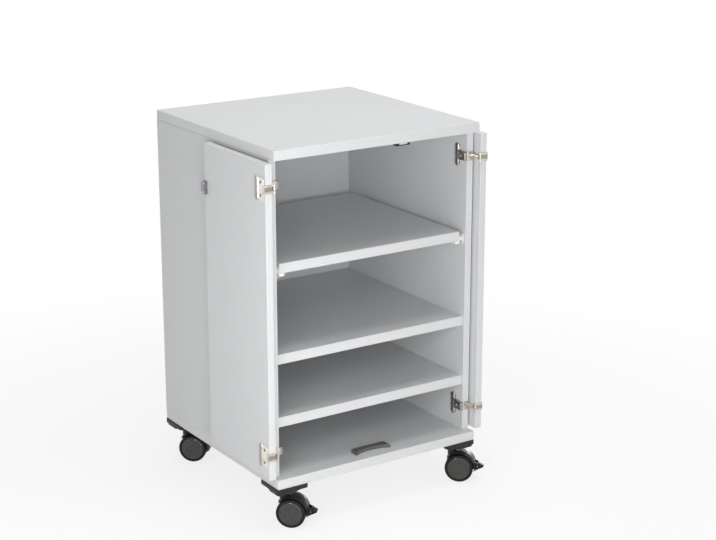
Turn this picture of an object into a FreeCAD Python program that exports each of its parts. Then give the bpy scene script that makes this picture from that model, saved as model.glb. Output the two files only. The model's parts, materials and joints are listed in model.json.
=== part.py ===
import FreeCAD, Part
import os
import re

os.makedirs("parts", exist_ok=True)
doc = FreeCAD.newDocument("multimedia_cart")

# Driving dimensions in millimetres, angles in degrees. Heights named "..._top" and "..._height" of
# things inside the body count from the underside of the bottom panel.
SIZES = {
    "width": 600,             # top and bottom panels, side to side
    "depth": 590,             # top and bottom panels, front to back
    "body_height": 852,       # underside of the bottom panel to the top's surface
    "caster_height": 112,     # floor to the underside of the bottom panel
    "board": 25,              # top, bottom and shelves
    "side_board": 19,
    "back_board": 19,
    "door_board": 19,
    "edge_round": 1.5,        # rounding of the edge banding
    "side_setback": 27,       # side panels' front edges behind the top's front edge
    "shelf_setback": 35,      # shelf front edges behind the top's front edge
    "upper_shelf_top": 337,
    "lower_shelf_top": 174,
    "pull_top": 566,          # top of the pull-out shelf
    "pull_rear_clear": 41,    # pull-out shelf, pushed in, ahead of the back panel
    "door_setback": 2,        # closed door's face behind the top's front edge
    "door_clear": 5,          # closed door below the top and above the bottom panel
    "door_inset": 2,          # closed door's hinge edge inside the side's outer face
    "door_gap": 5,            # between the two closed doors
    "pivot_out": 1,           # hinge pin outside the side's outer face
    "pivot_ahead": 2,         # hinge pin ahead of the top's front edge
    "hinge_inset": 60,        # hinge centre from the door's ends
    "hinge_height": 55,       # mounting plate and door plate
    "hinge_plate": 2.5,
    "hinge_sheet": 1.7,       # fingers that wrap the door's edge
    "hinge_strap": 2.4,
    "hinge_arm_height": 22,   # arm where it leaves the cabinet
    "hinge_arm_rear": 27,     # arm's height at its rear end
    "hinge_arm_thick": 9,
    "hinge_arm_reach": 30,    # arm's rear end behind the side's front edge
    "hinge_mount": 24,        # mounting plate along the side panel
    "hinge_mount_inset": 25,  # that plate behind the side's front edge
    "hinge_bar": 12,          # raised upright bar of both plates
    "hinge_bar_height": 60,
    "hinge_bar_rise": 3,      # bar above its plate
    "hinge_leaf_inset": 4,    # door plate behind the door's hinge edge
    "hinge_leaf_width": 37,
    "hinge_edge_plate": 1,    # part of the leaf on the door's hinge edge
    "hinge_knuckle": 9,       # arm's knuckle
    "hinge_finger": 6,        # leaf's knuckle above and below it
    "knuckle_radius": 3,
    "pin_radius": 1.5,
    "running_clear": 0.05,    # radial clearance of pins and stems in their bores
    "slip": 0.5,              # clearance between faces that pass each other
    "runner_gap": 12.5,       # side panel to the pull-out shelf's edge
    "runner_rear_clear": 36,  # runners ahead of the back panel
    "runner_sheet": 1.2,
    "runner_height": 24.6,
    "runner_drop": 8.4,       # cabinet runner below the pull-out shelf's underside
    "runner_track": 10,       # width of the tracks
    "roller_radius": 8.5,
    "roller_inset": 12,       # roller axle from the runner's end
    "roller_clear": 0.3,
    "shelf_flange": 14,       # runner's lip under the pull-out shelf
    "stop_width": 104,        # crescent door stop on the bottom panel
    "stop_depth": 31,
    "stop_front": 28,         # its horns behind the top's front edge
    "stop_height": 8,
    "stop_bow_radius": 110,
    "stop_bow": 12,           # how far its front edge bows in
    "catch_width": 40,        # door catch under the top
    "catch_depth": 18,
    "catch_height": 14,
    "catch_offset": 66,       # its near end right of the middle
    "lock_drop": 142,         # middle of the lock below the top's surface
    "lock_tall": 33,
    "lock_wide": 14,
    "lock_deep": 7,
    "lock_bolt": 8,           # bolt beyond the door's free edge
    "lock_bolt_thick": 2,
    "bracket_arm": 87,        # corner bracket along each edge
    "bracket_width": 26,
    "bracket_thick": 12,      # at the corner
    "bracket_tip": 10,        # at the arms' ends
    "bracket_round": 10,
    "bracket_lip": 3,         # bracket beyond the panel's edges
    "block_inset": 3,         # stem block inside the bracket's outline
    "block_width": 53,
    "block_height": 18,
    "rib": 3.5,               # ribs from the block out under the arms
    "rib_inset": 5,
    "rib_reach": 24,
    "hub_radius": 17,
    "hub_height": 20,
    "stem_inset": 40,         # caster stem from the panel's edges
    "stem_radius": 5,
    "stem_length": 10,
    "boss_radius": 12,
    "heading": 44,            # casters turned right of straight ahead
    "trail": 21,              # axle behind the stem
    "wheel_radius": 37.5,
    "wheel_width": 20,
    "wheel_gap": 18,          # between the two wheels of a pair
    "wheel_round": 4,
    "rim": 6,                 # rim round each wheel's outer face
    "rim_depth": 1,
    "axle_radius": 4,
    "hood_clear": 2.5,        # wheel to hood
    "hood_wall": 3.5,
    "hood_width": 44,
    "hood_band": 4,           # the two steps at each side of the hood
    "hood_step": 1,
    "hood_web": 13,           # rib between the wheels
    "hood_low": 28,           # hood's lower edge above the floor
    "web_drop": 4,            # rib below that edge
    "hood_front": 64,         # hood's lower edge on the stem's side
    "pedal_reach": 48.5,      # pedal's pivot behind the axle
    "pedal_rise": 3,          # pedal's pivot above the axle
    "pedal_length": 15,
    "pedal_width": 16,
    "pedal_thick": 20,
    "pedal_tip": 4,
    "pedal_clear": 5,         # pedal to hood, let go and pressed
    "pedal_press": 20,        # angle
    "ear": 3,
    "ear_root": 11.5,         # ears from the pedal's pivot into the hood's wall
    "ear_tall": 26,           # ears where they leave the hood
    "ear_end": 14,            # ears beyond the pivot
}

sheet = doc.addObject("Spreadsheet::Sheet", "dim")
for row, (alias, value) in enumerate(SIZES.items(), start=1):
    sheet.set(f"A{row}", alias)
    sheet.set(f"B{row}", str(value))
    sheet.setAlias(f"B{row}", alias)
doc.recompute()

# Places that many pieces share, written as expressions of the sizes above.
LEFT = "(-width / 2)"
WHEEL_REACH = (
    "(trail + wheel_radius - wheel_round) * sin(heading)"
    " + (wheel_gap / 2 + wheel_width - wheel_round) * cos(heading) + wheel_round"
)
PEDAL_TIP_REACH = "(trail + pedal_reach + pedal_length) * sin(heading) + pedal_width / 2 * cos(heading)"
FRONT_REACH = f"(max({WHEEL_REACH}; {PEDAL_TIP_REACH}) - stem_inset)"
FRONT = f"(({FRONT_REACH} - depth - bracket_lip) / 2)"
BODY = "caster_height"
INNER_FLOOR = "(caster_height + board)"
INNER_HEIGHT = "(body_height - 2 * board)"
INNER_WIDTH = "(width - 2 * side_board)"
FOLDED_GAP = "(door_setback + pivot_ahead + pivot_out)"
FOLDED_FRONT = f"({FRONT} + door_inset + pivot_out - pivot_ahead)"
FOLDED_FACE = f"({LEFT} - {FOLDED_GAP} - door_board)"
DOOR_WIDTH = "(width / 2 - door_inset - door_gap / 2)"
SHELF_DEPTH = "(depth - shelf_setback - back_board)"
PULL_DEPTH = f"({SHELF_DEPTH} - pull_rear_clear)"
PIVOT_X = f"({LEFT} - pivot_out)"
PIVOT_Y = f"({FRONT} - pivot_ahead)"
PULL_FLOOR = "(caster_height + pull_top - board)"
TRACK_Z = f"({PULL_FLOOR} - runner_drop)"

NEAR = 0.01  # two places closer than this are the same place
pieces = []


def size(alias):
    """The plain number in the sheet."""
    return float(sheet.get(alias))


def formula(text):
    """Point each size's name in an expression at its cell."""
    return re.sub(r"[a-z_]+", lambda word: f"dim.{word[0]}" if word[0] in SIZES else word[0], str(text))


def put(made, spot):
    for axis, text in zip("xyz", spot):
        made.setExpression(f"Placement.Base.{axis}", formula(text))
    return made


def box(corner, lengths):
    made = doc.addObject("Part::Box", "block")
    for name, text in zip(("Length", "Width", "Height"), lengths):
        made.setExpression(name, formula(text))
    return put(made, corner)


TURNS = {
    "x": (FreeCAD.Vector(0, 1, 0), 90),
    "y": (FreeCAD.Vector(1, 0, 0), -90),
    "z": (FreeCAD.Vector(0, 0, 1), 0),
}


def rod(axis, start, radius, length):
    """A cylinder along x, y or z from the centre of its first end."""
    made = doc.addObject("Part::Cylinder", "rod")
    made.Placement = FreeCAD.Placement(FreeCAD.Vector(), FreeCAD.Rotation(*TURNS[axis]))
    made.setExpression("Radius", formula(radius))
    made.setExpression("Height", formula(length))
    return put(made, start)


def taper(start, turn, length, near, far):
    """A bar along y, turned about z; near and far are its x and z limits at the two ends."""
    made = doc.addObject("Part::Wedge", "taper")
    made.Placement = FreeCAD.Placement(FreeCAD.Vector(), FreeCAD.Rotation(FreeCAD.Vector(0, 0, 1), turn))
    limits = {"Ymin": 0, "Ymax": length}
    limits.update(zip(("Xmin", "Xmax", "Zmin", "Zmax"), near))
    limits.update(zip(("X2min", "X2max", "Z2min", "Z2max"), far))
    for name, text in limits.items():
        made.setExpression(name, formula(text))
    return put(made, start)


def fuse(*shapes):
    made = doc.addObject("Part::MultiFuse", "joined")
    made.Shapes = list(shapes)
    made.Refine = True
    return made


def cut(base, *tools):
    for tool in tools:
        made = doc.addObject("Part::Cut", "cut")
        made.Base = base
        made.Tool = tool
        made.Refine = True
        base = made
    return base


def common(first, second):
    made = doc.addObject("Part::Common", "shared")
    made.Base = first
    made.Tool = second
    return made


def rounded(base, radius, wanted):
    """Round the edges that wanted(box of the edge, box of the shape) picks."""
    doc.recompute()
    room = base.Shape.BoundBox
    picked = [
        (index, radius, radius)
        for index, edge in enumerate(base.Shape.Edges, start=1)
        if wanted(edge.BoundBox, room)
    ]
    made = doc.addObject("Part::Fillet", "rounded")
    made.Base = base
    made.Edges = picked
    return made


def every_edge(span, room):
    return True


def front_edges(span, room):
    return abs(span.Center.y - room.YMin) < NEAR


def upright_edges(span, room):
    return max(span.XLength, span.YLength) < NEAR


def rims(span, room):
    return abs(span.Center.y - room.Center.y) > room.YLength / 4


def piece(label, made):
    made.Label = label
    pieces.append(made)
    return made


def reflected(source, normal, middle=(0, 0, 0)):
    """The mirror twin of a shape."""
    made = doc.addObject("Part::Mirroring", "twin")
    made.Source = source
    made.Normal = FreeCAD.Vector(*normal)
    for axis, text in zip("xyz", middle):
        made.setExpression(f"Base.{axis}", formula(text))
    return made


def pair(name, made):
    """A left-hand piece and its right-hand twin."""
    piece(f"left_{name}", made)
    piece(f"right_{name}", reflected(made, (1, 0, 0)))


def make_panels():
    edge = size("edge_round")
    slab = ("width", "depth", "board")
    bottom = box((LEFT, FRONT, BODY), slab)
    piece("bottom_panel", rounded(bottom, edge, every_edge))
    top = box((LEFT, FRONT, f"{BODY} + body_height - board"), slab)
    piece("top_panel", rounded(top, edge, every_edge))
    side = box(
        (LEFT, f"{FRONT} + side_setback", INNER_FLOOR),
        ("side_board", "depth - side_setback", INNER_HEIGHT),
    )
    pair("side_panel", side)
    back = box(
        (f"{LEFT} + side_board", f"{FRONT} + depth - back_board", INNER_FLOOR),
        (INNER_WIDTH, "back_board", INNER_HEIGHT),
    )
    piece("back_panel", back)


def make_shelves():
    edge = size("edge_round")
    for name in ("upper", "lower"):
        shelf = box(
            (f"{LEFT} + side_board", f"{FRONT} + shelf_setback", f"{BODY} + {name}_shelf_top - board"),
            (INNER_WIDTH, SHELF_DEPTH, "board"),
        )
        piece(f"{name}_shelf", shelf)
    pull = box(
        (f"{LEFT} + side_board + runner_gap", f"{FRONT} + shelf_setback", PULL_FLOOR),
        (f"{INNER_WIDTH} - 2 * runner_gap", PULL_DEPTH, "board"),
    )
    piece("pull_out_shelf", rounded(pull, edge, front_edges))


def make_runners():
    """Roller runners: a channel on each side panel, an angle with a track on each shelf edge."""
    wall = f"{LEFT} + side_board"
    front = f"{FRONT} + shelf_setback"
    length = f"({SHELF_DEPTH} - runner_rear_clear)"
    web = box((wall, front, TRACK_Z), ("runner_sheet", length, "runner_height"))
    track = box((wall, front, TRACK_Z), ("runner_track", length, "runner_sheet"))
    lip = box(
        (wall, front, f"{TRACK_Z} + runner_height - runner_sheet"),
        ("runner_track", length, "runner_sheet"),
    )
    track_top = f"({TRACK_Z} + runner_sheet)"
    flange_z = f"({track_top} + 2 * roller_radius + 3 * roller_clear)"
    roller_width = "runner_track - runner_sheet / 2"
    front_axle = (
        f"{wall} + runner_sheet / 2",
        f"{front} + roller_inset",
        f"{flange_z} - roller_clear - roller_radius",
    )
    front_roller = rod("x", front_axle, "roller_radius", roller_width)
    pair("cabinet_runner", fuse(web, track, lip, front_roller))

    shelf_edge = f"({wall} + runner_gap)"
    shelf_web = box(
        (f"{shelf_edge} - runner_sheet", front, f"{PULL_FLOOR} - runner_sheet"),
        ("runner_sheet", PULL_DEPTH, f"{flange_z} - {PULL_FLOOR} + 2 * runner_sheet"),
    )
    under = box(
        (f"{shelf_edge} - runner_sheet", front, f"{PULL_FLOOR} - runner_sheet"),
        ("runner_sheet + shelf_flange", PULL_DEPTH, "runner_sheet"),
    )
    flange = box(
        (f"{shelf_edge} - runner_track", front, flange_z),
        ("runner_track", PULL_DEPTH, "runner_sheet"),
    )
    rear_axle = (
        f"{shelf_edge} - runner_track",
        f"{front} + {PULL_DEPTH} - roller_inset",
        f"{track_top} + roller_clear + roller_radius",
    )
    rear_roller = rod("x", rear_axle, "roller_radius", roller_width)
    pair("shelf_runner", fuse(shelf_web, under, flange, rear_roller))


def make_doors():
    door = box(
        (FOLDED_FACE, FOLDED_FRONT, f"{INNER_FLOOR} + door_clear"),
        ("door_board", DOOR_WIDTH, f"{INNER_HEIGHT} - 2 * door_clear"),
    )
    pair("door", rounded(door, size("edge_round"), every_edge))


def make_hinge(name, middle):
    """Wrap-round hinge: an arm on the side panel's inner face, a leaf on the door's inner face."""
    wall = f"({LEFT} + side_board)"
    edge = f"({FRONT} + side_setback)"
    bend = f"({edge} - slip - hinge_strap)"
    mount_y = f"({edge} + hinge_mount_inset)"
    plate_low = f"{middle} - hinge_height / 2"
    bar_low = f"{middle} - hinge_bar_height / 2"
    knuckle_low = f"({middle} - hinge_knuckle / 2)"
    mount = box((wall, mount_y, plate_low), ("hinge_plate", "hinge_mount", "hinge_height"))
    mount_bar = box(
        (wall, f"{mount_y} + (hinge_mount - hinge_bar) / 2", bar_low),
        ("hinge_plate + hinge_bar_rise", "hinge_bar", "hinge_bar_height"),
    )
    arm = taper(
        (wall, bend, middle),
        0,
        f"{edge} + hinge_arm_reach - {bend}",
        (0, "hinge_arm_thick", "-hinge_arm_height / 2", "hinge_arm_height / 2"),
        (0, "hinge_arm_thick / 2", "-hinge_arm_rear / 2", "hinge_arm_rear / 2"),
    )
    sideways = box(
        (f"{PIVOT_X} - hinge_strap / 2", bend, f"{middle} - hinge_arm_height / 2"),
        (f"{wall} - {PIVOT_X} + hinge_strap", "hinge_strap", "hinge_arm_height"),
    )
    forward = box(
        (f"{PIVOT_X} - hinge_strap / 2", PIVOT_Y, knuckle_low),
        ("hinge_strap", f"{bend} - {PIVOT_Y} + hinge_strap", "hinge_knuckle"),
    )
    barrel = rod("z", (PIVOT_X, PIVOT_Y, knuckle_low), "knuckle_radius", "hinge_knuckle")
    pin = rod(
        "z",
        (PIVOT_X, PIVOT_Y, f"{knuckle_low} - hinge_finger - slip"),
        "pin_radius",
        "hinge_knuckle + 2 * (hinge_finger + slip)",
    )
    pair(f"{name}_hinge_arm", fuse(mount, mount_bar, arm, sideways, forward, barrel, pin))

    outer = f"({FOLDED_FACE} - hinge_plate)"
    wrap = f"({FOLDED_FRONT} - hinge_sheet)"
    leaf_y = f"({FOLDED_FRONT} + hinge_leaf_inset)"
    leaf = box((outer, leaf_y, plate_low), ("hinge_plate", "hinge_leaf_width", "hinge_height"))
    leaf_bar = box(
        (f"{outer} - hinge_bar_rise", f"{leaf_y} + hinge_leaf_width - hinge_bar", bar_low),
        ("hinge_plate + hinge_bar_rise", "hinge_bar", "hinge_bar_height"),
    )
    wrap_low = f"({knuckle_low} - slip - hinge_finger)"
    wrap_height = "hinge_knuckle + 2 * (slip + hinge_finger)"
    edge_plate = box(
        (outer, f"{FOLDED_FRONT} - hinge_edge_plate", wrap_low),
        ("hinge_plate + door_board", "hinge_edge_plate", wrap_height),
    )
    tongue = box(
        (outer, f"{FOLDED_FRONT} - hinge_edge_plate", wrap_low),
        ("hinge_plate", "hinge_edge_plate + hinge_leaf_inset + slip", wrap_height),
    )
    parts = [leaf, leaf_bar, edge_plate, tongue]
    bores = []
    for low in (wrap_low, f"{knuckle_low} + hinge_knuckle + slip"):
        along_edge = (f"{PIVOT_X} - {outer}", "hinge_sheet", "hinge_finger")
        parts.append(box((outer, wrap, low), along_edge))
        parts.append(rod("z", (PIVOT_X, PIVOT_Y, low), "knuckle_radius", "hinge_finger"))
        bores.append(rod("z", (PIVOT_X, PIVOT_Y, low), "pin_radius + running_clear", "hinge_finger"))
    pair(f"{name}_hinge_leaf", cut(fuse(*parts), *bores))


def make_door_fittings():
    outer = f"({FOLDED_FACE} - lock_deep)"
    free_edge = f"({FOLDED_FRONT} + {DOOR_WIDTH})"
    low = f"{BODY} + body_height - lock_drop - lock_tall / 2"
    case = box((outer, f"{free_edge} - lock_wide", low), ("lock_deep", "lock_wide", "lock_tall"))
    bolt = box(
        (outer, f"{free_edge} - lock_wide", f"{low} + lock_tall / 4"),
        ("lock_bolt_thick", "lock_wide + lock_bolt", "lock_tall / 2"),
    )
    piece("door_lock", fuse(case, bolt))

    catch = box(
        ("catch_offset", f"{FRONT} + stop_front", f"{BODY} + body_height - board - catch_height"),
        ("catch_width", "catch_depth", "catch_height"),
    )
    piece("top_catch", catch)

    plate = box(
        ("-stop_width / 2", f"{FRONT} + stop_front", INNER_FLOOR),
        ("stop_width", "stop_depth", "stop_height"),
    )
    bow = rod(
        "z",
        (0, f"{FRONT} + stop_front + stop_bow - stop_bow_radius", INNER_FLOOR),
        "stop_bow_radius",
        "stop_height",
    )
    piece("door_stop", cut(plate, bow))


def make_brackets():
    """Corner brackets: two arms along the panel's edges and a ribbed block that takes the caster's stem."""
    corner_x = f"({LEFT} - bracket_lip)"
    corner_y = f"({FRONT} - bracket_lip)"
    arm_length = "bracket_arm + bracket_lip"
    near = (0, "bracket_width", "-bracket_thick", 0)
    far = (0, "bracket_width", "-bracket_tip", 0)
    block_low = (f"{corner_x} + block_inset", f"{corner_y} + block_inset", "caster_height - block_height")
    shapes = [
        taper((corner_x, corner_y, "caster_height"), 0, arm_length, near, far),
        taper((corner_x, f"{corner_y} + bracket_width", "caster_height"), -90, arm_length, near, far),
        box(block_low, ("block_width", "block_width", "block_height")),
    ]
    parts = [rounded(shape, size("bracket_round"), upright_edges) for shape in shapes]
    rib_start = "block_inset + block_width - bracket_round"
    rib_length = "bracket_round + rib_reach"
    for side in ("rib_inset", "bracket_width - rib_inset - rib"):
        near = (side, f"{side} + rib", "-block_height", "-bracket_tip / 2")
        far = (side, f"{side} + rib", "-bracket_tip", "-bracket_tip / 2")
        parts += [
            taper((corner_x, f"{corner_y} + {rib_start}", "caster_height"), 0, rib_length, near, far),
            taper(
                (f"{corner_x} + {rib_start}", f"{corner_y} + bracket_width", "caster_height"),
                -90, rib_length, near, far,
            ),
        ]
    hub_low = (f"{LEFT} + stem_inset", f"{FRONT} + stem_inset", "caster_height - hub_height")
    hub = rod("z", hub_low, "hub_radius", "hub_height")
    bore = rod("z", hub_low, "stem_radius + running_clear", "stem_length + slip")
    front = cut(fuse(*parts, hub), bore)
    pair("front_bracket", front)
    pair("rear_bracket", reflected(front, (0, 1, 0), (0, f"{FRONT} + depth / 2", 0)))


def turned(made, stem_x, stem_y):
    """Set a caster piece, made with its stem at the origin and trailing along x, at its corner."""
    made.Placement = FreeCAD.Placement(FreeCAD.Vector(), FreeCAD.Rotation(FreeCAD.Vector(0, 0, 1), 1))
    made.setExpression("Placement.Rotation.Angle", formula("-heading"))
    return put(made, (stem_x, stem_y, 0))


def across(radius, width, x="trail", z="wheel_radius"):
    """A cylinder centred on the caster's middle plane, its axis along the axle."""
    return rod("y", (x, f"-({width}) / 2", z), radius, width)


HOOD_INNER = "(wheel_radius + hood_clear)"
HOOD_OUTER = f"({HOOD_INNER} + hood_wall)"
PEDAL_X = "(trail + pedal_reach)"
PEDAL_Z = "(wheel_radius + pedal_rise)"


def make_hood(braked):
    """Hood over the pair of wheels, the rib between them, and the stem it swivels on."""
    inner, outer = HOOD_INNER, HOOD_OUTER
    crown = fuse(
        across(outer, "hood_width - 4 * hood_band"),
        across(f"{outer} - hood_step", "hood_width - 2 * hood_band"),
        across(f"{outer} - 2 * hood_step", "hood_width"),
    )
    shell = fuse(cut(crown, across(inner, "hood_width")), across(inner, "hood_web"))
    span = f"2 * {outer}"
    keep_back = box(("trail", f"-({span}) / 2", "hood_low"), (outer, span, span))
    keep_front = box((f"trail - {outer}", f"-({span}) / 2", "hood_front"), (outer, span, span))
    keep_web = box(("-boss_radius", "-hood_web / 2", "hood_low - web_drop"), (span, "hood_web", span))
    hood = common(shell, fuse(keep_back, keep_front, keep_web))
    stem_low = "caster_height - hub_height"
    boss = rod("z", (0, 0, "hood_front"), "boss_radius", f"{stem_low} - slip - hood_front")
    stem = rod("z", (0, 0, f"{stem_low} - slip"), "stem_radius", "stem_length")
    added = [hood, boss, stem]
    if braked:
        for outside in ("pedal_width / 2 + slip + ear", "-pedal_width / 2 - slip"):
            ear = taper(
                (f"{PEDAL_X} - ear_root", outside, PEDAL_Z),
                -90,
                "ear_root + knuckle_radius",
                (0, "ear", "-ear_tall / 2", "ear_tall / 2"),
                (0, "ear", "-ear_end / 2", "ear_end / 2"),
            )
            added.append(ear)
        added.append(across("pin_radius", "pedal_width + 2 * (slip + ear)", PEDAL_X, PEDAL_Z))
    bore = across("axle_radius + running_clear", "hood_web")
    left_room = rod("y", ("trail", "hood_web / 2", "wheel_radius"), inner, "hood_width")
    right_room = rod("y", ("trail", "-hood_web / 2 - hood_width", "wheel_radius"), inner, "hood_width")
    return cut(fuse(*added), bore, left_room, right_room)


def make_wheels():
    """The pair of wheels on their axle, each with a raised rim round its outer face."""
    outer_face = "(wheel_gap / 2 + wheel_width)"
    wheels = []
    starts = {"wheel_gap / 2": f"{outer_face} - rim_depth", f"-{outer_face}": f"-{outer_face}"}
    for wheel_start, dish_start in starts.items():
        wheel = rod("y", ("trail", wheel_start, "wheel_radius"), "wheel_radius", "wheel_width")
        dish = rod("y", ("trail", dish_start, "wheel_radius"), "wheel_radius - rim", "rim_depth")
        wheels.append(cut(rounded(wheel, size("wheel_round"), rims), dish))
    return fuse(*wheels, across("axle_radius", "wheel_gap + 2 * slip"))


def make_pedal():
    """Brake pedal: a wedge on a barrel, hollowed where it passes the hood let go and pressed."""
    barrel = across("knuckle_radius", "pedal_width", PEDAL_X, PEDAL_Z)
    lever = taper(
        (PEDAL_X, "pedal_width / 2", f"{PEDAL_Z} - pedal_thick / 2"),
        -90,
        "pedal_length",
        (0, "pedal_width", 0, "pedal_thick"),
        (0, "pedal_width", "(pedal_thick - pedal_tip) / 2", "(pedal_thick + pedal_tip) / 2"),
    )
    passing = f"{HOOD_OUTER} + pedal_clear"
    let_go = across(passing, "pedal_width")
    pressed = across(
        passing,
        "pedal_width",
        f"{PEDAL_X} - pedal_reach * cos(pedal_press) + pedal_rise * sin(pedal_press)",
        f"{PEDAL_Z} - pedal_reach * sin(pedal_press) - pedal_rise * cos(pedal_press)",
    )
    bore = across("pin_radius + running_clear", "pedal_width", PEDAL_X, PEDAL_Z)
    return cut(fuse(barrel, cut(lever, let_go, pressed)), bore)


def make_casters():
    rows = {"front": f"{FRONT} + stem_inset", "rear": f"{FRONT} + depth - stem_inset"}
    sides = {"left": f"{LEFT} + stem_inset", "right": f"-{LEFT} - stem_inset"}
    for end, stem_y in rows.items():
        for side, stem_x in sides.items():
            piece(f"{side}_{end}_caster_hood", turned(make_hood(end == "front"), stem_x, stem_y))
            piece(f"{side}_{end}_wheels", turned(make_wheels(), stem_x, stem_y))
            if end == "front":
                piece(f"{side}_brake_pedal", turned(make_pedal(), stem_x, stem_y))


make_panels()
make_shelves()
make_runners()
make_doors()
make_hinge("lower", f"({INNER_FLOOR} + door_clear + hinge_inset)")
make_hinge("upper", f"({BODY} + body_height - board - door_clear - hinge_inset)")
make_door_fittings()
make_brackets()
make_casters()
doc.recompute()

for made in doc.Objects:
    if "Invalid" in made.State or "Error" in made.State:
        raise RuntimeError(f"{made.Label} failed: {made.State}")
for made in pieces:
    if made.Shape.isNull() or not made.Shape.isValid():
        raise RuntimeError(f"{made.Label} has no valid shape")
for made in pieces:
    made.Shape.exportStep(f"parts/{made.Label}.step")
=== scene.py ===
"""Looks of the multimedia cart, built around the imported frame."""
import json
import math

import bmesh
import bpy
from mathutils import Matrix, Vector

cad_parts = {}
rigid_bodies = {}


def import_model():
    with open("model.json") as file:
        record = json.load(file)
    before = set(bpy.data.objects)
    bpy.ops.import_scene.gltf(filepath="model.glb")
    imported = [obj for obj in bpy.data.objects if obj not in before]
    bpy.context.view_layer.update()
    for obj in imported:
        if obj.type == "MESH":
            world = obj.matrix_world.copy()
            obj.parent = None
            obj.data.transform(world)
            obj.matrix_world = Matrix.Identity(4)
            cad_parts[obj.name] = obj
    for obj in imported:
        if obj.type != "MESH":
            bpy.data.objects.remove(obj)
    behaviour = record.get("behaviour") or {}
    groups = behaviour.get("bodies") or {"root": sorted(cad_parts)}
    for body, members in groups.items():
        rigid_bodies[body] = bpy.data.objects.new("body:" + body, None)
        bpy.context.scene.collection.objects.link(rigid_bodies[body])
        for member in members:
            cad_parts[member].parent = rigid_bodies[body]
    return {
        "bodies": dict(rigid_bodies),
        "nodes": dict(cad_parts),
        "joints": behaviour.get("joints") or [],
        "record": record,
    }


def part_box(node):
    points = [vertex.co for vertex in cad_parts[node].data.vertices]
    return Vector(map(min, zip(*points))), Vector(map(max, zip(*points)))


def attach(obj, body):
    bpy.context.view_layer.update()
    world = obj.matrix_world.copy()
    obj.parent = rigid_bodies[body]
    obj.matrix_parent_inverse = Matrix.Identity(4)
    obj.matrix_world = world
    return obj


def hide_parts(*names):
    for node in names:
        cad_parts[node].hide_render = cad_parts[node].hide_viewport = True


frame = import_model()
nodes = frame["nodes"]
joints = {joint["name"]: joint for joint in frame["joints"]}
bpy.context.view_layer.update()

MM = 0.001
SIDES = {"left": 1, "right": -1}  # the sign of x that leads into the cabinet
LEVELS = ("lower", "upper")
ENDS = ("front", "rear")


# Materials

class Look:
    """A procedural material whose nodes are written as calls."""

    def __init__(self, name, **shader):
        self.material = bpy.data.materials.new(name)
        self.material.use_nodes = True
        self.tree = self.material.node_tree
        self.shader = self.tree.nodes["Principled BSDF"]
        for socket, value in shader.items():
            self.set(socket.replace("_", " "), value)

    def set(self, socket, value):
        self.feed(self.shader.inputs[socket], value)

    def feed(self, socket, value):
        if isinstance(value, bpy.types.NodeSocket):
            self.tree.links.new(value, socket)
        else:
            socket.default_value = value

    def node(self, kind, *inputs, output=0, **settings):
        made = self.tree.nodes.new(kind)
        for name, value in settings.items():
            setattr(made, name, value)
        for socket, value in zip(made.inputs, inputs):
            if value is not None:
                self.feed(socket, value)
        return made.outputs[output]

    def place(self):
        """The point on the piece, in metres."""
        return self.node("ShaderNodeTexCoord", output=3)

    def math(self, operation, *inputs):
        return self.node("ShaderNodeMath", *inputs, operation=operation)

    def noise(self, scale, detail, stretch=(1, 1, 1)):
        """A cloud of values from 0 to 1 with features of 1 / scale metres."""
        vector = self.node("ShaderNodeMapping", self.place(), None, None, stretch)
        return self.node("ShaderNodeTexNoise", vector, None, scale, detail)

    def between(self, value, low, high, start=0.3, stop=0.7):
        """value, from start to stop, stretched to low and high."""
        return self.node("ShaderNodeMapRange", value, start, stop, low, high)

    def tint(self, factor, first, second):
        unused = [None] * 5     # the sockets of plain numbers and vectors
        return self.node("ShaderNodeMix", factor, *unused, first, second, output=2, data_type="RGBA")

    def bump(self, height, distance, strength):
        made = self.tree.nodes.new("ShaderNodeBump")
        made.inputs["Strength"].default_value = strength
        made.inputs["Distance"].default_value = distance
        self.feed(made.inputs["Height"], height)
        self.set("Normal", made.outputs[0])


def grey(level, warmth=0.0):
    """A grey that leans to warm (above 0) or cool (below 0)."""
    return (level * (1 + warmth), level, level * (1 - warmth), 1.0)


def shaded(colour, factor):
    return tuple(c * factor for c in colour[:3]) + (1.0,)


BOARD = grey(0.62, -0.012)
PEARL_SCALE = 1400          # these scales are features per metre
CLOUD_SCALE = 9
MARK_SCALE = 55
MOTTLE_SCALE = 35
DUST_SCALE = 140
STREAK_SCALE = 900
PLATING_SCALE = 60
COAT_SCALE = 30
BAND_WIDTH = 2 * MM
BAND_JOINT = 0.25 * MM


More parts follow.
